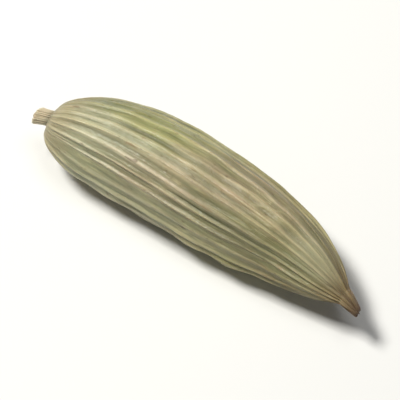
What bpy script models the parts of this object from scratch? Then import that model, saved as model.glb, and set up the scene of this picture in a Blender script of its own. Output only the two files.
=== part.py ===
"""A dried green cardamom pod: one closed three-sided husk with its stalk stub, beak and ribs."""

import math
import random

import bmesh
import bpy
import numpy as np

# Driving dimensions, in metres
POD_LENGTH = 0.0210
HUSK_RADIUS = 0.00278
STALK_LENGTH = 0.00090
STALK_RADIUS = 0.00044
STALK_ROUNDING = 0.00028
BEAK_LENGTH = 0.00135
BEAK_RADIUS = 0.00054
BEAK_TIP_RADIUS = 0.00026
ARCH_RISE = 0.00150
END_LIFT = 0.00024
RIB_HEIGHT = 0.00012
SEED_SWELL = 0.00004
SEED_PITCH = 0.0026
FLAT_CUT = 0.00021

# Outline of the husk: how fast it fills out from each end (0.5 is an ellipse, more is sharper)
STALK_FULLNESS = 0.34
BEAK_FULLNESS = 0.52
STALK_FLARE = 0.22
NECK_BLEND = 2.4
NECK_REACH = 3.0
ARCH_POWER = 3
LIFT_LEAN = 0.55

# Section of the husk, as shares of its radius
FLATTENING = 0.93
CORNER_SWELL = 0.075
FURROW_DEPTH = 0.045
END_FURROW_DEPTH = 0.095
DENT_DEPTH = 0.014
SLENDER_SHARE = 0.22
FULL_SHARE = 0.85

# Directions round the husk, in degrees
CORNERS_DEG = (90, 210, 330)
FURROWS_DEG = (30, 150)
FURROW_WIDTH_DEG = 14
SEED_ROW_WIDTH_DEG = 30
TWIST_DEG = 9

# Ribs, each a few steps of the mesh wide
RIB_COUNT = 26
STEPS_PER_RIB = 4
RING_COUNT = 56
OUTLINE_SAMPLES = 2000
RIB_SEED = 41
RIB_SHARPNESS = 1.4
RIB_FADE = 0.45
CORNER_RIB_GAIN = 0.35
CORNER_RIB_WIDTH_DEG = 14
RIB_WANDER_DEG = 2.2
RIB_SHIFT = 0.20
RIB_SLENDER_SHARE = 0.60
RIB_SLENDER_POWER = 1.2

# Finish
HUSK_GREEN = (0.33, 0.34, 0.16, 1.0)
HUSK_ROUGHNESS = 0.62


def clear_scene():
    for thing in list(bpy.data.objects):
        bpy.data.objects.remove(thing, do_unlink=True)


def smooth_step(low, high, value):
    share = min(max((value - low) / (high - low), 0.0), 1.0)
    return share * share * (3 - 2 * share)


def bell(offset, width):
    """1 at no offset, falling smoothly to almost 0 at twice the width."""
    return math.exp(-((offset / width) ** 2))


def nearness(angle, directions_deg, width_deg):
    """1 where an angle meets one of the directions, falling to 0 away from them."""
    gaps = []
    for direction in directions_deg:
        turn = angle - math.radians(direction)
        gaps.append(abs((turn + math.pi) % (2 * math.pi) - math.pi))
    return bell(min(gaps), math.radians(width_deg))


def husk_radius(share):
    """Radius of the husk alone, blunt at the stalk end (share 0) and tapered at the beak end (1)."""
    if not 0 < share < 1:
        return 0.0
    fullest = STALK_FULLNESS / (STALK_FULLNESS + BEAK_FULLNESS)
    from_stalk = (share / fullest) ** STALK_FULLNESS
    from_beak = ((1 - share) / (1 - fullest)) ** BEAK_FULLNESS
    return HUSK_RADIUS * from_stalk * from_beak


def stalk_radius(from_end):
    """Radius of the stalk stub, flared a little at its broken end, then lost inside the husk."""
    flare = 1 + STALK_FLARE * math.exp(-4 * from_end / STALK_LENGTH)
    fade = 1 - smooth_step(STALK_LENGTH, NECK_REACH * STALK_LENGTH, from_end)
    return STALK_RADIUS * flare * fade


def beak_radius(from_tip):
    """Radius of the dried beak, widening from its tip, then lost inside the husk."""
    widening = (BEAK_RADIUS - BEAK_TIP_RADIUS) * smooth_step(0, BEAK_LENGTH, from_tip)
    fade = 1 - smooth_step(BEAK_LENGTH, NECK_REACH * BEAK_LENGTH, from_tip)
    return (BEAK_TIP_RADIUS + widening) * fade


def end_rounding(from_end, reach):
    """1 away from an end, falling to 0 at it along a quarter circle."""
    if from_end >= reach:
        return 1.0
    return math.sqrt(max(0.0, 1 - (1 - from_end / reach) ** 2))


def pod_radius(along):
    """Radius of the pod at a share of its length, with stalk, husk and beak melted together."""
    from_end = POD_LENGTH * along
    from_tip = POD_LENGTH - from_end
    husk_length = POD_LENGTH - STALK_LENGTH - BEAK_LENGTH
    parts = (
        husk_radius((from_end - STALK_LENGTH) / husk_length),
        stalk_radius(from_end),
        beak_radius(from_tip),
    )
    radius = sum(part**NECK_BLEND for part in parts) ** (1 / NECK_BLEND)
    radius *= end_rounding(from_end, STALK_ROUNDING)
    return radius * end_rounding(from_tip, BEAK_TIP_RADIUS)


def section_factor(angle, along, full):
    """Three swollen corners, a furrow down each of the two upper sides, and a few slow dents."""
    corners = CORNER_SWELL * math.cos(3 * (angle - math.radians(CORNERS_DEG[0])))
    depth = FURROW_DEPTH + (END_FURROW_DEPTH - FURROW_DEPTH) * (2 * along - 1) ** 2
    furrows = depth * nearness(angle, FURROWS_DEG, FURROW_WIDTH_DEG)
    waves = math.sin(9 * along + 2 * angle + 0.7) + math.sin(15 * along - angle + 2.1)
    return 1 + full * (corners - furrows + DENT_DEPTH * waves)


def seed_swell(angle, along, full):
    """The seeds inside show as a faint row of swellings along each corner."""
    row = math.sin(2 * math.pi * POD_LENGTH * along / SEED_PITCH + 2 * angle)
    return SEED_SWELL * full * nearness(angle, CORNERS_DEG, SEED_ROW_WIDTH_DEG) * row


def make_ribs():
    """Each rib's own height, the place along the pod where it is highest, and how it strays."""
    draw = random.Random(RIB_SEED)
    ribs = []
    for _ in range(RIB_COUNT):
        rib = {
            "height": draw.uniform(0.45, 1.20),
            "peak": draw.uniform(0.35, 0.65),
            "shift": draw.uniform(-RIB_SHIFT, RIB_SHIFT),
            "lean": draw.uniform(-1, 1),
            "phase": draw.uniform(0, 2 * math.pi),
        }
        ribs.append(rib)
    return ribs


def rib_stray(rib, along):
    """How far a rib lies from its even place, in radians: a steady shift and a slow wander."""
    wander = rib["lean"] * math.sin(2 * math.pi * along + rib["phase"])
    return rib["shift"] * 2 * math.pi / RIB_COUNT + math.radians(RIB_WANDER_DEG) * wander


def skin_angle(step, along, full, ribs):
    """Direction of a step of the mesh, between the two ribs beside it, with the pod's twist."""
    before = step // STEPS_PER_RIB
    share = smooth_step(0, 1, step / STEPS_PER_RIB - before)
    stray = (1 - share) * rib_stray(ribs[before], along)
    stray += share * rib_stray(ribs[(before + 1) % RIB_COUNT], along)
    even = 2 * math.pi * step / (RIB_COUNT * STEPS_PER_RIB)
    return even + math.radians(TWIST_DEG) * (along - 0.5) + stray * full


def rib_height(rib, step, angle, along, radius):
    """Height of a rib on the skin: a narrow crest, tallest on the corners, lower at the ends."""
    profile = ((1 + math.cos(2 * math.pi * step / STEPS_PER_RIB)) / 2) ** RIB_SHARPNESS
    fade = RIB_FADE * (2 * (along - rib["peak"])) ** 2
    corner = CORNER_RIB_GAIN * nearness(angle, CORNERS_DEG, CORNER_RIB_WIDTH_DEG)
    slender = min(1.0, radius / (RIB_SLENDER_SHARE * HUSK_RADIUS)) ** RIB_SLENDER_POWER
    return RIB_HEIGHT * rib["height"] * (1 - fade + corner) * slender * profile


def centre_line(along):
    """Sideways and upward place of the pod's middle: nearly straight, then bent down to both tips."""
    spread = 2 * along - 1
    sideways = ARCH_RISE * (1 - abs(spread) ** ARCH_POWER)
    upward = END_LIFT * spread**2 * (1 - LIFT_LEAN * spread)
    return sideways, upward


def ring_places():
    """Samples of the way along the outline of the pod, and the share of the length at each."""
    along = np.linspace(0, 1, OUTLINE_SAMPLES)
    radii = np.array([pod_radius(share) for share in along])
    steps = np.hypot(np.diff(along) * POD_LENGTH, np.diff(radii))
    way = np.concatenate(([0.0], np.cumsum(steps)))
    return way / way[-1], along


def pod_point(step, along, ribs):
    """Place of one point of the skin, from its step round the pod and its share of the length."""
    radius = pod_radius(along)
    full = smooth_step(SLENDER_SHARE * HUSK_RADIUS, FULL_SHARE * HUSK_RADIUS, radius)
    rib = ribs[(step + STEPS_PER_RIB // 2) // STEPS_PER_RIB % RIB_COUNT]
    angle = skin_angle(step, along, full, ribs)
    reach = radius * section_factor(angle, along, full) + seed_swell(angle, along, full)
    reach += rib_height(rib, step, angle, along, radius)
    sideways, upward = centre_line(along)
    across = sideways + reach * math.cos(angle)
    height = upward + FLATTENING * reach * math.sin(angle)
    return POD_LENGTH * along, across, height


def shape_pod(mesh, ribs):
    """Moves each point of a unit sphere, whose poles become the two ends, to its place."""
    steps = RIB_COUNT * STEPS_PER_RIB
    way, shares = ring_places()
    for point in mesh.verts:
        along = float(np.interp((1 + point.co.z) / 2, way, shares))
        turn = math.atan2(point.co.y, point.co.x) / (2 * math.pi)
        point.co = pod_point(round(turn * steps) % steps, along, ribs)


def flatten_underside(mesh):
    """Presses the lowest skin flat, so that the pod rests, and puts the origin under its middle."""
    places = np.array([point.co for point in mesh.verts])
    floor = places[:, 2].min() + FLAT_CUT
    middle = (places.min(axis=0) + places.max(axis=0)) / 2
    for point in mesh.verts:
        point.co.x -= middle[0]
        point.co.y -= middle[1]
        point.co.z = max(point.co.z, floor) - floor


def husk_material():
    material = bpy.data.materials.new("husk")
    material.use_nodes = True
    shader = material.node_tree.nodes["Principled BSDF"]
    shader.inputs["Base Color"].default_value = HUSK_GREEN
    shader.inputs["Roughness"].default_value = HUSK_ROUGHNESS
    shader.inputs["Metallic"].default_value = 0.0
    return material


def build_pod(collection):
    skin = bmesh.new()
    bmesh.ops.create_uvsphere(
        skin, u_segments=RIB_COUNT * STEPS_PER_RIB, v_segments=RING_COUNT, radius=1.0
    )
    shape_pod(skin, make_ribs())
    flatten_underside(skin)
    mesh = bpy.data.meshes.new("pod")
    skin.to_mesh(mesh)
    skin.free()
    mesh.shade_smooth()
    mesh.materials.append(husk_material())
    pod = bpy.data.objects.new("pod", mesh)
    collection.objects.link(pod)


def main():
    clear_scene()
    collection = bpy.data.collections.new("cardamom_pod")
    bpy.context.scene.collection.children.link(collection)
    build_pod(collection)


main()
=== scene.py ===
import math
import random

import bmesh
import bpy
import numpy as np
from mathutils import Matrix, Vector


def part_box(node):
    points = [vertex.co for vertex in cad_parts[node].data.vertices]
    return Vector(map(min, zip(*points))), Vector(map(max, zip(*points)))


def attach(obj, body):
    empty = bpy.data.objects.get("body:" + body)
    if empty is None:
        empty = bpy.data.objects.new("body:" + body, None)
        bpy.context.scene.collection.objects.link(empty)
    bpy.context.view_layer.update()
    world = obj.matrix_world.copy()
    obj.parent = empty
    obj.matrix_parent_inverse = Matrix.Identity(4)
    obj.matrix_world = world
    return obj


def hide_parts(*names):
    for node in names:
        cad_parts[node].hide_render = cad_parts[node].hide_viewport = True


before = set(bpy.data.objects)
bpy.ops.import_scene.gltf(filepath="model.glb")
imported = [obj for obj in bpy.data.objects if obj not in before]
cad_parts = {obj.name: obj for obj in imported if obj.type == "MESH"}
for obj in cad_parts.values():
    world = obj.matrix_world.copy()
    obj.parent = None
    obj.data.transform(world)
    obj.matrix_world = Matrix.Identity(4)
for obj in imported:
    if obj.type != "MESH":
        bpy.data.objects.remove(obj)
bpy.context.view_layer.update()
podLow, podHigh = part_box("pod")
podLength = podHigh.x - podLow.x

mm = 0.001
fullTurn = 2 * math.pi


def linear(red, green, blue):  # screen colour, 0 to 255, as the shader wants it
    shares = [value / 255 for value in (red, green, blue)]
    return [s / 12.92 if s <= 0.04045 else ((s + 0.055) / 1.055) ** 2.4 for s in shares] + [1.0]


# Camera and light

view = {
    "azimuthDeg": 34.0,
    "elevationDeg": 65.0,
    "distance": 0.30,
    "frameWidth": 0.0214,  # across the picture at the pod, in metres
    "aim": (-0.0003, -0.0006, 0.0024),
    "sensor": 36.0,
    "nearest": 0.01,
    "farthest": 20.0,
}


def placeCamera():
    azimuth = math.radians(view["azimuthDeg"])
    elevation = math.radians(view["elevationDeg"])
    outward = Vector((math.sin(azimuth) * math.cos(elevation),
                      -math.cos(azimuth) * math.cos(elevation),
                      math.sin(elevation)))
    lens = bpy.data.cameras.new("podCamera")
    lens.sensor_width = view["sensor"]
    lens.lens = view["sensor"] * view["distance"] / view["frameWidth"]
    lens.clip_start = view["nearest"]
    lens.clip_end = view["farthest"]
    camera = bpy.data.objects.new("podCamera", lens)
    camera.location = Vector(view["aim"]) + outward * view["distance"]
    camera.rotation_euler = outward.to_track_quat("Z", "Y").to_euler()
    bpy.context.scene.collection.objects.link(camera)
    bpy.context.scene.camera = camera


studio = {
    "lamps": {
        "key": {"place": (-0.118, -0.012, 0.215), "size": 0.065, "power": 0.70, "tint": (1.0, 0.985, 0.95)},
        "overhead": {"place": (0.04, 0.10, 0.48), "size": 0.20, "power": 0.48, "tint": (1.0, 1.0, 1.0)},
        "fill": {"place": (0.30, -0.30, 0.22), "size": 0.35, "power": 0.06, "tint": (1.0, 0.99, 0.97)},
    },
    "sky": {"Color": (0.98, 0.98, 1.0, 1.0), "Strength": 0.10},
    "floor": {"Base Color": linear(228, 228, 225), "Roughness": 0.75},
    "floorSide": 3.0,
    "floorDrop": 0.01 * mm,
}


def addLight(name, lamp):  # a square soft light that faces the pod
    light = bpy.data.lights.new(name, "AREA")
    light.energy = lamp["power"]
    light.size = lamp["size"]
    light.color = lamp["tint"]
    holder = bpy.data.objects.new(name, light)
    holder.location = lamp["place"]
    holder.rotation_euler = Vector(lamp["place"]).to_track_quat("Z", "Y").to_euler()
    bpy.context.scene.collection.objects.link(holder)


def buildStudio():
    for name, lamp in studio["lamps"].items():
        addLight(name, lamp)
    world = bpy.data.worlds.new("sky")
    world.use_nodes = True
    for name, value in studio["sky"].items():
        world.node_tree.nodes["Background"].inputs[name].default_value = value
    bpy.context.scene.world = world
    bpy.ops.mesh.primitive_plane_add(size=studio["floorSide"], location=(0, 0, -studio["floorDrop"]))
    floor = bpy.context.object
    floor.name = "floor"
    floor.data.materials.append(Paint("floorPaint", studio["floor"]).material)


# Shader tools

class Signal:  # a value in the shader that can be added, taken away and multiplied
    def __init__(self, paint, socket):
        self.paint = paint
        self.socket = socket

    def maths(self, operation, first, second, clamp=False):
        made = self.paint.node("ShaderNodeMath", {"operation": operation, "use_clamp": clamp},
                               {0: first, 1: second})
        return Signal(self.paint, made.outputs[0])

    def __add__(self, other):
        return self.maths("ADD", self, other)

    def __radd__(self, other):
        return self.maths("ADD", other, self)

    def __sub__(self, other):
        return self.maths("SUBTRACT", self, other)

    def __rsub__(self, other):
        return self.maths("SUBTRACT", other, self)

    def __mul__(self, other):
        return self.maths("MULTIPLY", self, other)

    def __rmul__(self, other):
        return self.maths("MULTIPLY", other, self)

    def held(self):  # kept between 0 and 1
        return self.maths("ADD", self, 0.0, clamp=True)

    def step(self, low, high):  # 0 below low, 1 above high, smooth between
        made = self.paint.node("ShaderNodeMapRange", {"interpolation_type": "SMOOTHSTEP"},
                               {"Value": self, "From Min": low, "From Max": high})
        return Signal(self.paint, made.outputs["Result"])


class Paint:  # one material and what its nodes are made with
    def __init__(self, name, sockets):
        self.material = bpy.data.materials.new(name)
        self.material.use_nodes = True
        self.tree = self.material.node_tree
        self.shader = self.tree.nodes["Principled BSDF"]
        for socket, value in sockets.items():
            self.feed(self.shader.inputs[socket], value)

    def feed(self, socket, value):
        if isinstance(value, Signal):
            value = value.socket
        if isinstance(value, bpy.types.NodeSocket):
            self.tree.links.new(value, socket)
        else:
            socket.default_value = value

    def node(self, kind, settings, sockets):
        made = self.tree.nodes.new(kind)
        for name, value in settings.items():
            setattr(made, name, value)
        for name, value in sockets.items():
            self.feed(made.inputs[name], value)
        return made

    def reading(self, attribute):  # a number kept on the mesh
        made = self.node("ShaderNodeAttribute", {"attribute_name": attribute}, {})
        return Signal(self, made.outputs["Fac"])

    def place(self, scale=(1, 1, 1), shift=(0, 0, 0)):  # where it is on the straightened skin, in mm
        read = self.node("ShaderNodeAttribute", {"attribute_name": "skin"}, {})
        made = self.node("ShaderNodeVectorMath", {"operation": "MULTIPLY_ADD"},
                         {0: read.outputs["Vector"], 1: scale, 2: shift})
        return made.outputs["Vector"]

    def noise(self, grain):
        where = self.place(grain["swells"], grain["from"])
        made = self.node("ShaderNodeTexNoise", {"noise_dimensions": "3D"},
                         {"Vector": where, "Scale": 1.0, "Detail": grain["detail"],
                          "Roughness": grain["rough"], "Distortion": grain["warp"]})
        return Signal(self, made.outputs["Fac"])

    def mix(self, share, first, second):
        made = self.node("ShaderNodeMix", {"data_type": "RGBA"}, {0: share, 6: first, 7: second})
        return made.outputs[2]


# Shape of the pod, the same form as the solid it stands for, with its skin in fine detail

form = {
    "radius": 2.78 * mm,
    "stalkLength": 0.90 * mm,
    "stalkRadius": 0.44 * mm,
    "stalkFlare": 0.22,
    "flareFade": 4,
    "stalkHollow": 0.10 * mm,
    "stalkRim": 0.84,  # radius of the broken end, of the stalk just behind it
    "rimRounding": 0.10 * mm,
    "beakLength": 1.35 * mm,
    "beakRadius": 0.54 * mm,
    "beakTipRadius": 0.26 * mm,
    "archRise": 1.50 * mm,
    "archPower": 3,
    "endLift": 0.24 * mm,
    "liftLean": 0.55,
    "flatCut": 0.21 * mm,
    "stalkFullness": 0.34,
    "beakFullness": 0.52,
    "neckBlend": 2.4,
    "neckReach": 3.0,
    "flattening": 0.93,
    "cornerSwell": 0.075,
    "furrowDepth": 0.045,
    "endFurrowDepth": 0.095,
    "dentDepth": 0.014,
    "dentWaves": ((9, 2, 0.7), (15, -1, 2.1)),  # radians along the pod, lobes round it, start
    "slenderShare": 0.22,
    "fullShare": 0.85,
    "cornersDeg": (90, 210, 330),
    "furrowsDeg": (30, 150),
    "furrowWidthDeg": 14,
    "seedSwell": 0.04 * mm,
    "seedPitch": 2.6 * mm,
    "seedRowWidthDeg": 30,
    "twistDeg": 9,
}

ribs = {
    "count": 26,
    "seed": 41,
    "height": 0.12 * mm,
    "fade": 0.45,
    "cornerGain": 0.35,
    "cornerWidthDeg": 14,
    "wanderDeg": 2.2,
    "slenderShare": 0.60,
    "slenderPower": 1.2,
    "sharpness": 1.4,
    "lineShare": 0.45,  # how much of a rib is its thin raised line
    "lineWidth": 0.13,  # of the space between two ribs
    "uneven": 0.35,  # how much a rib rises and falls on its way
    "ripples": 0.33,  # rises a mm
    "rippleGap": 7.3,  # far enough apart for each rib to have its own
    "rippleSeed": 5,
    "range": {  # each rib's own height, where it is highest, and how it strays
        "height": (0.45, 1.20),
        "peak": (0.35, 0.65),
        "shift": (-0.20, 0.20),
        "lean": (-1, 1),
        "phase": (0, fullTurn),
    },
}

skin = {
    "around": 416,
    "rings": 228,
    "stalkRings": 7,
    "tipRings": 6,
    "evenShare": 0.55,  # the rest of the rings crowd towards both ends
    "patchRadius": 3.0,  # of the straightened skin that grain is laid out on, in mm
    "dent": 0.070 * mm,  # broad unevenness of the dried husk
    "thread": 0.027 * mm,  # fibres along the husk
    "fold": 0.050 * mm,  # sharp folds at a slant to the ribs
    "crepe": 0.020 * mm,  # fine cross wrinkles between the ribs
    "grain": 0.006 * mm,
    "crease": 0.080 * mm,  # long dents beside the ribs
    "creaseCount": 24,
    "creaseRange": {  # direction, place and reach as shares of the length, lean, width, depth
        "centre": (0, fullTurn),
        "start": (-0.1, 0.75),
        "reach": (0.15, 0.45),
        "lean": (-0.25, 0.25),
        "widthDeg": (1.8, 4.2),
        "strength": (0.4, 1.0),
    },
    "scar": 0.020 * mm,  # small corky rubbed patches
    "scarCount": 22,
    "scarRange": {
        "centre": (0, fullTurn),
        "place": (0.08, 0.94),
        "length": (0.008, 0.040),
        "widthDeg": (1.5, 5.5),
        "strength": (0.3, 1.0),
    },
    "ragged": 0.16 * mm,  # how uneven the broken stalk and the torn beak end
    "tornSwells": 2.6,  # how many teeth the torn ends have
    "tornSeed": 24,
    "beakTear": 1.6,  # how much more ragged the beak is than the stalk
    "bundle": 0.09,  # how knobbly the stalk's fibres are, of its radius
    "pleat": 0.34,  # how deep the beak is folded, of its radius
    "beakRib": 0.13,  # how high the ribs run on over the beak, of its radius
    "pressReach": 0.12 * mm,  # below the resting plane, where the skin is pressed flat
    "pressLift": 0.03 * mm,  # how far the valleys between the ribs stay off it
    "seed": 7,
    "zones": {  # how far each reaches whole, and where it is over, from its end of the pod
        "stalk": (0.81 * mm, 1.26 * mm),
        "tornStalk": (0.0, 0.63 * mm),
        "collar": (1.2 * mm, 3.4 * mm),
        "beak": (0.81 * mm, 3.105 * mm),
        "tornBeak": (0.0, 0.5 * mm),
        "tip": (0.1 * mm, 1.2 * mm),
    },
    "neckWidth": 0.22 * mm,
    "noises": {  # swells a mm along the skin and across it, and the seed of each
        "dent": (0.42, 0.42, 11),
        "warp": (0.5, 0.8, 21),
        "thread": (0.40, 3.8, 15),
        "fineThread": (0.8, 7.5, 25),
        "fold": (0.9, 2.3, 22),
        "foldArea": (0.36, 0.36, 23),
        "crepe": (2.5, 0.9, 13),
        "crepeArea": (0.45, 0.45, 12),
        "grain": (6.0, 6.0, 16),
        "scarLength": (2.2, 4.5, 31),
        "scarWidth": (1.8, 3.5, 32),
        "scarTop": (5.0, 5.0, 17),
        "pleat": (1.0, 1.5, 18),
        "bundle": (0.5, 2.4, 19),
        "fineBundle": (0.8, 5.0, 20),
    },
}


def smoothStep(low, high, value):
    share = np.clip((value - low) / (high - low), 0.0, 1.0)
    return share * share * (3 - 2 * share)


def bell(offset, width):
    return np.exp(-((offset / width) ** 2))


def turnGap(angle, direction):
    return np.abs((angle - direction + math.pi) % fullTurn - math.pi)


def nearness(angle, directionsDeg, widthDeg):
    gaps = [turnGap(angle, math.radians(direction)) for direction in directionsDeg]
    return bell(np.minimum.reduce(gaps), math.radians(widthDeg))


def latticeValue(cell, seed):  # a steady random number, 0 to 1, for each cell of a 3-D grid
    mixed = cell[0] * 374761393 + cell[1] * 668265263 + cell[2] * 1103515245 + seed * 974634777
    mixed = mixed.astype(np.uint64) & np.uint64(0xFFFFFFFF)
    mixed = (mixed ^ (mixed >> np.uint64(13))) * np.uint64(1274126177) & np.uint64(0xFFFFFFFF)
    mixed = mixed ^ (mixed >> np.uint64(16))
    return (mixed & np.uint64(0xFFFFFF)).astype(float) / 0xFFFFFF


slantedGrid = np.array([[0.36, 0.48, -0.80], [-0.80, 0.60, 0.0], [0.48, 0.64, 0.60]])


def softNoise(places, seed):  # smooth noise from -1 to 1, about one swell a unit
    places = slantedGrid @ places
    whole = np.floor(places).astype(np.int64)
    part = places - whole
    part = part**3 * (10 - 15 * part + 6 * part * part)
    total = np.zeros(places.shape[1])
    for corner in range(8):
        bits = np.array([corner & 1, corner >> 1 & 1, corner >> 2 & 1])[:, None]
        weight = np.prod(np.where(bits == 1, part, 1 - part), axis=0)
        total += weight * latticeValue(whole + bits, seed)
    return 2 * total - 1


def skinNoise(patch, name, bend=0.0):
    lengthwise, crosswise, seed = skin["noises"][name]
    return softNoise(patch * np.array([[lengthwise], [crosswise], [crosswise]]) + bend, seed)


def zone(name, fromEnd):  # 1 at the end of the pod, 0 past the zone
    return 1 - smoothStep(*skin["zones"][name], fromEnd)


def drawn(draw, ranges):  # one random value within each range
    return {name: draw.uniform(*limits) for name, limits in ranges.items()}


def huskRadius(distance):  # blunt at the stalk, tapered at the beak
    huskLength = podLength - form["stalkLength"] - form["beakLength"]
    share = np.clip((distance - form["stalkLength"]) / huskLength, 0.0, 1.0)
    fullest = form["stalkFullness"] / (form["stalkFullness"] + form["beakFullness"])
    fromStalk = (share / fullest) ** form["stalkFullness"]
    return form["radius"] * fromStalk * ((1 - share) / (1 - fullest)) ** form["beakFullness"]


def stalkRadius(distance):
    flare = 1 + form["stalkFlare"] * np.exp(-form["flareFade"] * distance / form["stalkLength"])
    lost = smoothStep(form["stalkLength"], form["neckReach"] * form["stalkLength"], distance)
    return form["stalkRadius"] * flare * (1 - lost)


def beakRadius(fromTip):
    widening = (form["beakRadius"] - form["beakTipRadius"]) * smoothStep(0, form["beakLength"], fromTip)
    lost = smoothStep(form["beakLength"], form["neckReach"] * form["beakLength"], fromTip)
    return (form["beakTipRadius"] + widening) * (1 - lost)


def podRadius(distance):  # stalk, husk and beak melted together
    power = form["neckBlend"]
    parts = (huskRadius(distance), stalkRadius(distance), beakRadius(podLength - distance))
    return sum(part**power for part in parts) ** (1 / power)


def ringPlaces():  # distance along the pod and radius factor of each ring of the mesh
    first = skin["stalkRings"]
    last = skin["rings"] - skin["tipRings"]
    count = np.arange(skin["rings"] + 1)
    t = np.clip((count - first) / (last - first), 0.0, 1.0)
    along = skin["evenShare"] * t + (1 - skin["evenShare"]) * (1 - np.cos(math.pi * t)) / 2
    tipDepth = form["beakTipRadius"]
    distance = along * (podLength - tipDepth)
    factor = form["stalkRim"] + (1 - form["stalkRim"]) * smoothStep(0, form["rimRounding"], distance)
    inner = np.clip(count / first, 0.0, 1.0)
    distance = np.where(count < first, form["stalkHollow"] * (1 - inner**2), distance)
    factor = np.where(count < first, factor * inner, factor)
    turn = np.clip((count - last) / skin["tipRings"], 0.0, 1.0) * math.pi / 2
    distance = np.where(count > last, podLength - tipDepth * (1 - np.sin(turn)), distance)
    factor = np.where(count > last, np.cos(turn), factor)
    return distance, factor


def tornDistance(ring, phase, distance):  # the broken stalk and the torn beak end unevenly
    teeth = skin["tornSwells"] * np.array([np.cos(phase), np.sin(phase), 0 * phase])
    torn = softNoise(teeth, skin["tornSeed"]) * 0.5 + 0.5
    atStalk = smoothStep(0.2, 1.0, ring / skin["stalkRings"]) * zone("tornStalk", distance)
    atBeak = skin["beakTear"] * zone("tornBeak", podLength - distance)
    tornBeak = 1 - (1 - torn) * smoothStep(0, 4, skin["rings"] - ring)
    return distance + skin["ragged"] * (torn * atStalk - tornBeak * atBeak)


def makeRibs():
    draw = random.Random(ribs["seed"])
    rows = [drawn(draw, ribs["range"]) for _ in range(ribs["count"])]
    return {name: np.array([row[name] for row in rows]) for name in ribs["range"]}


def ribStray(rib, number, along):  # how far a rib lies from its even place
    wander = rib["lean"][number] * np.sin(fullTurn * along + rib["phase"][number])
    return rib["shift"][number] * fullTurn / ribs["count"] + math.radians(ribs["wanderDeg"]) * wander


def ribLines(rib, phase, along):  # the nearest rib, its sideways stray, and its two cross sections
    ribPlace = phase / fullTurn * ribs["count"]
    lower = np.floor(ribPlace).astype(int) % ribs["count"]
    upper = (lower + 1) % ribs["count"]
    share = ribPlace - np.floor(ribPlace)
    lean = smoothStep(0.0, 1.0, share)
    stray = ribStray(rib, lower, along) * (1 - lean) + ribStray(rib, upper, along) * lean
    nearest = np.where(share < 0.5, lower, upper)
    gap = np.minimum(share, 1 - share)
    broad = ((1 + np.cos(fullTurn * gap)) / 2) ** ribs["sharpness"]
    sharp = (1 - ribs["lineShare"]) * broad + ribs["lineShare"] * bell(gap, ribs["lineWidth"])
    return nearest, stray, broad, sharp


def ribSize(rib, nearest, angle, along):  # tallest on the corners, lower towards the ends
    fade = ribs["fade"] * (2 * (along - rib["peak"][nearest])) ** 2
    corner = ribs["cornerGain"] * nearness(angle, form["cornersDeg"], ribs["cornerWidthDeg"])
    return rib["height"][nearest] * (1 - fade + corner)


def ribRipple(nearest, patch):
    places = np.array([patch[0] * ribs["ripples"], nearest * ribs["rippleGap"], nearest * 0.0])
    return softNoise(places, ribs["rippleSeed"])


def sectionFactor(angle, along, full):  # three swollen corners, two furrows and a few slow dents
    corners = form["cornerSwell"] * np.cos(3 * (angle - math.radians(form["cornersDeg"][0])))
    extra = form["endFurrowDepth"] - form["furrowDepth"]
    depth = form["furrowDepth"] + extra * (2 * along - 1) ** 2
    furrows = depth * nearness(angle, form["furrowsDeg"], form["furrowWidthDeg"])
    waves = sum(np.sin(swing * along + lobes * angle + start) for swing, lobes, start in form["dentWaves"])
    return 1 + full * (corners - furrows + form["dentDepth"] * waves)


def seedSwell(angle, along, full):  # the seeds inside show as a faint row along each corner
    row = np.sin(fullTurn * podLength * along / form["seedPitch"] + 2 * angle)
    return form["seedSwell"] * full * nearness(angle, form["cornersDeg"], form["seedRowWidthDeg"]) * row


def centreLine(along):
    spread = 2 * along - 1
    sideways = form["archRise"] * (1 - np.abs(spread) ** form["archPower"])
    upward = form["endLift"] * spread**2 * (1 - form["liftLean"] * spread)
    return sideways, upward


def makeCreases(phase, along):  # long thin folds of the dried skin
    draw = random.Random(skin["seed"])
    depth = np.zeros_like(phase)
    for _ in range(skin["creaseCount"]):
        one = drawn(draw, skin["creaseRange"])
        begun = (along - one["start"]) / one["reach"]
        window = smoothStep(0.0, 0.3, begun) * (1 - smoothStep(0.6, 1.0, begun))
        gap = turnGap(phase, one["centre"] + one["lean"] * (along - one["start"]))
        depth = np.maximum(depth, one["strength"] * window * bell(gap, math.radians(one["widthDeg"])))
    return depth


def makeScars(phase, along, patch):  # noise makes their edges uneven
    draw = random.Random(skin["seed"] + 1)
    mark = np.zeros_like(phase)
    lengthwise = skinNoise(patch, "scarLength")
    crosswise = skinNoise(patch, "scarWidth")
    for _ in range(skin["scarCount"]):
        one = drawn(draw, skin["scarRange"])
        width = math.radians(one["widthDeg"])
        slide = along - one["place"] + 1.1 * one["length"] * lengthwise
        turn = turnGap(phase, one["centre"] + 1.8 * width * crosswise)
        shape = smoothStep(0.15, 0.85, bell(turn, width) * bell(slide, one["length"]))
        mark = np.maximum(mark, one["strength"] ** 2 * shape)
    return mark


def fineRelief(patch, valley):  # height of the dried skin's fibres, folds and wrinkles
    warp = 0.5 * skinNoise(patch, "warp")
    thread = skinNoise(patch, "thread", warp) + 0.5 * skinNoise(patch, "fineThread", warp)
    fold = np.clip(1 - 2.2 * np.abs(skinNoise(patch, "fold", 2 * warp)), 0, 1) ** 1.5
    fold = fold * smoothStep(-0.15, 0.45, skinNoise(patch, "foldArea"))
    crepe = skinNoise(patch, "crepe", 2.5 * warp) * valley
    crepe = crepe * smoothStep(-0.4, 0.4, skinNoise(patch, "crepeArea"))
    height = skin["thread"] * thread + skin["fold"] * fold * (0.35 + 0.65 * valley)
    return height + skin["crepe"] * crepe + skin["grain"] * skinNoise(patch, "grain"), fold


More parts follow.
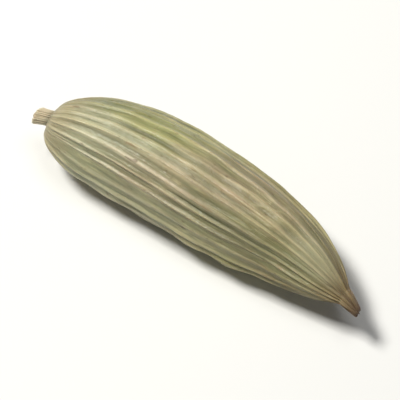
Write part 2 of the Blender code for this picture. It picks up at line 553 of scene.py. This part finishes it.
def beakPleats(phase, patch):  # about 1 on the shrivelled beak's pleats, near 0 in their folds
    pleats = 0.60 * np.abs(np.sin(2.5 * phase + 0.7 * patch[0] + 0.5 * np.sin(phase))) ** 0.7
    pleats = pleats + 0.25 * np.abs(np.sin(5.5 * phase - 0.6 * patch[0])) ** 0.8
    return pleats + 0.35 * skinNoise(patch, "pleat")


def stalkBundle(patch):  # the stalk's fibres, side by side
    return skinNoise(patch, "bundle") + 0.6 * skinNoise(patch, "fineBundle")


def laidOut(distance, angle, outward):  # from way along, direction and reach to places in space
    sideways, upward = centreLine(distance / podLength)
    across = sideways + outward * np.cos(angle)
    height = upward + form["flattening"] * outward * np.sin(angle)
    return np.array([distance, across, height])


def atRest(places, plainPlaces, valley):  # where the solid lies, with the lowest skin pressed flat
    shift = (plainPlaces.min(axis=1) + plainPlaces.max(axis=1)) / 2
    shift[2] = plainPlaces[2].min() + form["flatCut"]
    places = places - shift[:, None]
    below = smoothStep(0.0, skin["pressReach"], -places[2])
    places[2] = np.where(places[2] < 0, skin["pressLift"] * below * valley, places[2])
    return places.T


def podSkin(ring, phase):  # where every point of the fine mesh goes, and what the shader reads there
    ringDistance, ringFactor = ringPlaces()
    distance = tornDistance(ring, phase, ringDistance[ring])
    along = distance / podLength
    fromTip = podLength - distance
    radius = podRadius(distance) * ringFactor[ring]
    full = smoothStep(form["slenderShare"] * form["radius"], form["fullShare"] * form["radius"], radius)
    slender = np.minimum(1.0, radius / (ribs["slenderShare"] * form["radius"])) ** ribs["slenderPower"]

    # Places on the skin in millimetres, straightened, so that grain follows the ribs
    girth = skin["patchRadius"]
    patch = np.array([distance / mm, girth * np.cos(phase), girth * np.sin(phase)])

    # The form of the solid, and the same with sharper and less even ribs
    rib = makeRibs()
    nearest, stray, broad, sharp = ribLines(rib, phase, along)
    angle = phase + math.radians(form["twistDeg"]) * (along - 0.5) + stray * full
    size = ribSize(rib, nearest, angle, along)
    unevenSize = size * (1 + ribs["uneven"] * ribRipple(nearest, patch))
    plain = radius * sectionFactor(angle, along, full) + seedSwell(angle, along, full)
    plainReach = plain + ribs["height"] * size * slender * broad
    reach = plain + ribs["height"] * unevenSize * slender * sharp

    # What drying did to the skin
    valley = 1 - sharp
    relief, fold = fineRelief(patch, valley)
    crease = makeCreases(phase, along) * full
    scar = makeScars(phase, along, patch)
    reach = reach + skin["dent"] * full * skinNoise(patch, "dent") + slender * relief
    reach = reach - skin["crease"] * crease
    reach = reach + skin["scar"] * scar * (0.7 + 0.6 * skinNoise(patch, "scarTop"))

    # The beak is shrivelled into pleats, and the stalk is bundled fibre
    beak = zone("beak", fromTip)
    stalk = zone("stalk", distance)
    pleats = beakPleats(phase, patch)
    reach = reach * (1 - skin["pleat"] * beak * (1 - pleats))
    reach = reach * (1 + skin["beakRib"] * beak * (sharp - 0.4) * np.clip(unevenSize, 0.3, 1.3))
    reach = reach * (1 + skin["bundle"] * stalk * stalkBundle(patch))

    places = atRest(laidOut(distance, angle, reach), laidOut(distance, angle, plainReach), valley)
    readings = {
        "crest": np.clip(sharp * np.clip(unevenSize, 0, 1.3), 0, 1),
        "crease": crease,
        "fold": fold,
        "scar": scar,
        # where the stalk meets the husk; the material paints shade there
        "neck": bell(distance - form["stalkLength"], skin["neckWidth"]),
        "collar": zone("collar", distance),
        "pith": np.clip(1 - ring / skin["stalkRings"], 0, 1),
        "tip": zone("tip", fromTip),
        "stalk": stalk,
        "beak": beak,
        # how deep in the beak's folds; the material paints brown there, partly as painted shade
        "pleat": beak * np.clip(1 - pleats, 0, 1),
        "full": full,
    }
    return places, patch.T, readings


def buildPod():
    sphere = bmesh.new()
    bmesh.ops.create_uvsphere(sphere, u_segments=skin["around"], v_segments=skin["rings"], radius=1.0)
    mesh = bpy.data.meshes.new("podSkin")
    sphere.to_mesh(mesh)
    sphere.free()
    points = np.empty(len(mesh.vertices) * 3, np.float32)
    mesh.vertices.foreach_get("co", points)
    points = points.reshape(-1, 3).astype(float)
    polar = np.arccos(np.clip(-points[:, 2], -1, 1))
    ring = np.round(polar / math.pi * skin["rings"]).astype(int)
    phase = np.arctan2(points[:, 1], points[:, 0]) % fullTurn
    places, straight, readings = podSkin(ring, phase)
    mesh.vertices.foreach_set("co", places.astype(np.float32).ravel())
    mesh.attributes.new("skin", "FLOAT_VECTOR", "POINT").data.foreach_set("vector", straight.ravel())
    for name, values in readings.items():
        mesh.attributes.new(name, "FLOAT", "POINT").data.foreach_set("value", values)
    mesh.update()
    mesh.shade_smooth()
    mesh.materials.append(huskMaterial())
    pod = bpy.data.objects.new("podSkin", mesh)
    bpy.context.scene.collection.objects.link(pod)
    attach(pod, "root")
    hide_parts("pod")


# Husk material

husk = {
    "sage": linear(141, 142, 101),
    "olive": linear(88, 94, 54),
    "straw": linear(194, 185, 138),
    "tan": linear(144, 122, 84),
    "brown": linear(86, 62, 43),
    "cream": linear(210, 196, 164),
    "bloomAndHighlight": linear(198, 194, 162),
    "shade": linear(66, 69, 43),
    "lime": linear(174, 172, 106),
    "buff": linear(184, 162, 133),
    "roughness": 0.36,
    "bump": 0.09 * mm,
    "even": {  # what is the same all over
        "Subsurface Weight": 0.06,
        "Subsurface Scale": 0.3 * mm,
        "Specular IOR Level": 0.50,
        "Sheen Weight": 0.04,
        "Sheen Roughness": 0.5,
    },
    "grain": {  # swells a mm along the skin and across it, where each noise starts, and its texture
        "slow": {"swells": (0.16, 0.42, 0.42), "from": (0, 0, 0), "detail": 3, "rough": 0.5, "warp": 0},
        "streak": {"swells": (0.14, 2.1, 2.1), "from": (3, 1, 4), "detail": 4, "rough": 0.6, "warp": 0},
        "fibre": {"swells": (0.35, 5.5, 5.5), "from": (8, 2, 5), "detail": 4, "rough": 0.65, "warp": 0},
        "mottle": {"swells": (1.3, 1.6, 1.6), "from": (2, 7, 1), "detail": 5, "rough": 0.65, "warp": 0},
        "fleck": {"swells": (2.2, 4.6, 4.6), "from": (5, 5, 9), "detail": 3, "rough": 0.6, "warp": 0},
        "scuff": {"swells": (0.9, 3.4, 3.4), "from": (6, 3, 2), "detail": 4, "rough": 0.6, "warp": 0},
        "pores": {"swells": (8, 9, 9), "from": (0, 0, 0), "detail": 3, "rough": 0.6, "warp": 0},
        "crepe": {"swells": (4.2, 1.5, 1.5), "from": (1, 9, 3), "detail": 4, "rough": 0.55, "warp": 0.8},
    },
    # Broad patches where the husk dried to another colour, and a few of painted light and shade: its name,
    # share of the length, direction round the pod in degrees, reach along and round it in mm, strength
    "patches": [
        # painted highlight: the next two pale patches lie on the upper face near the stalk, where the light
        # falls
        ("bloomAndHighlight", 0.10, 120, 5.2, 3.2, 0.50),
        ("bloomAndHighlight", 0.24, 112, 3.4, 1.9, 0.50),
        ("lime", 0.30, 62, 3.8, 2.2, 0.68),
        ("buff", 0.36, 140, 3.6, 1.8, 0.50),
        ("buff", 0.49, 98, 2.8, 2.0, 0.42),
        ("buff", 0.62, 68, 3.4, 2.2, 0.62),
        ("bloomAndHighlight", 0.86, 95, 2.4, 1.8, 0.45),
        ("sage", 0.78, 145, 3.0, 1.8, 0.45),
        # painted shade: darker olive on the far upper edge near the stalk
        ("olive", 0.13, 35, 3.2, 2.0, 0.60),
        ("buff", 0.28, 250, 4.2, 2.4, 0.55),
        ("lime", 0.66, 215, 4.0, 2.2, 0.50),
        ("olive", 0.52, 300, 3.6, 2.2, 0.50),
        ("bloomAndHighlight", 0.78, 330, 3.4, 2.2, 0.45),
    ],
}


def groundLayers(paint, grain):  # two greens, streaks along the ribs, pale at the stalk, tan at the beak
    slow, streak, mottle = grain["slow"], grain["streak"], grain["mottle"]
    where = paint.node("ShaderNodeSeparateXYZ", {}, {0: paint.place()})
    along = Signal(paint, where.outputs["X"]) * (mm / podLength)
    side = Signal(paint, where.outputs["Y"]) * (1 / skin["patchRadius"])
    paling = ((0.66 - along) * 1.3 + (slow - 0.5) * 1.2 - side * 0.45).held()
    tanning = (along.step(0.30, 0.90) * 0.80 + (mottle - 0.5) * 0.9 + (slow - 0.5) * 0.6).held()
    return [
        ("olive", slow.step(0.36, 0.64)),
        ("straw", streak.step(0.46, 0.72) * 0.55),
        ("bloomAndHighlight", mottle.step(0.52, 0.75) * 0.35),
        ("bloomAndHighlight", paling * 0.60),
        ("tan", tanning * 0.72),
    ]


def patchLayers(paint, grain):
    layers = []
    for name, share, turnDeg, reachAlong, reachRound, strength in husk["patches"]:
        turn = math.radians(turnDeg)
        middle = (share * podLength / mm, skin["patchRadius"] * math.cos(turn),
                  skin["patchRadius"] * math.sin(turn))
        sizes = (reachAlong, reachRound, reachRound)
        shift = [-value / size for value, size in zip(middle, sizes)]
        offset = paint.place([1 / size for size in sizes], shift)
        gap = paint.node("ShaderNodeVectorMath", {"operation": "LENGTH"}, {0: offset})
        edge = Signal(paint, gap.outputs["Value"])
        edge = edge + (grain["slow"] - 0.5) * 1.6 + (grain["streak"] - 0.5) * 1.2
        layers.append((name, (1 - edge.step(0.35, 1.15)) * strength))
    return layers


def ribLayers(paint, grain, crest):  # ribs are paler than the skin between them, partly their own colour and partly painted highlight; the valleys are darker, partly painted shade, and the long folds get painted shade
    streak, fibre = grain["streak"], grain["fibre"]
    return [
        # paler raised rib lines: partly their own colour, partly painted highlight
        ("straw", crest * (0.06 + streak.step(0.36, 0.66) * 0.58)),
        # darker green between the ribs: partly the husk's own colour, partly painted shade in the valleys
        ("olive", (1 - crest).step(0.55, 1.0) * 0.50 * paint.reading("full")),
        ("straw", fibre.step(0.52, 0.68) * 0.42),
        ("shade", fibre.step(0.46, 0.32) * 0.40),
        # painted shade in the long creases
        ("shade", paint.reading("crease") * 0.55),
        ("straw", paint.reading("fold") * 0.30),
    ]


def markLayers(paint, grain, crest, scar):  # flecks, rubbed patches, stalk and beak, with painted shade at the neck and partly in the beak's folds
    fibre, mottle = grain["fibre"], grain["mottle"]
    rubbed = (scar + (mottle - 0.5) * 1.4 + (fibre - 0.5) * 0.9).step(0.30, 0.70) * scar.step(0.05, 0.4)
    return [
        ("brown", grain["fleck"].step(0.62, 0.74) * 0.55),
        ("brown", rubbed * 0.50),
        ("tan", grain["scuff"].step(0.56, 0.70) * (0.15 + crest * 0.6)),
        ("tan", paint.reading("beak") * (0.45 + fibre * 0.5)),
        # brown beak folds: partly the beak's own brown, partly painted shade deep in the folds
        ("brown", paint.reading("pleat") * 0.9),
        ("brown", paint.reading("tip") * (0.2 + mottle)),
        ("tan", paint.reading("collar") * (0.15 + mottle * 0.55)),
        ("cream", paint.reading("stalk") * (0.55 + fibre * 0.8)),
        ("brown", paint.reading("pith") * (0.3 + mottle * 0.9)),
        # painted shade where the stalk narrows into the husk
        ("shade", paint.reading("neck") * 0.6),
    ]


def huskMaterial():
    paint = Paint("huskSkin", husk["even"])
    grain = {name: paint.noise(settings) for name, settings in husk["grain"].items()}
    crest = paint.reading("crest")
    scar = paint.reading("scar")
    layers = groundLayers(paint, grain) + patchLayers(paint, grain)
    layers = layers + ribLayers(paint, grain, crest) + markLayers(paint, grain, crest, scar)
    colour = husk["sage"]
    for name, share in layers:
        colour = paint.mix(share, colour, husk[name])
    paint.feed(paint.shader.inputs["Base Color"], colour)
    rough = husk["roughness"] + (grain["mottle"] - 0.5) * 0.22 - crest * 0.08 + scar * 0.2
    paint.feed(paint.shader.inputs["Roughness"], rough.held())
    relief = grain["fibre"] * 0.80 + grain["pores"] * 0.25 + grain["crepe"] * 0.32
    bump = paint.node("ShaderNodeBump", {}, {"Strength": 1.0, "Distance": husk["bump"], "Height": relief})
    paint.feed(paint.shader.inputs["Normal"], bump.outputs["Normal"])
    return paint.material


bpy.context.scene.view_settings.view_transform = "Standard"
placeCamera()
buildStudio()
print("studio, light and camera are in place")
buildPod()
print("pod skin is made")
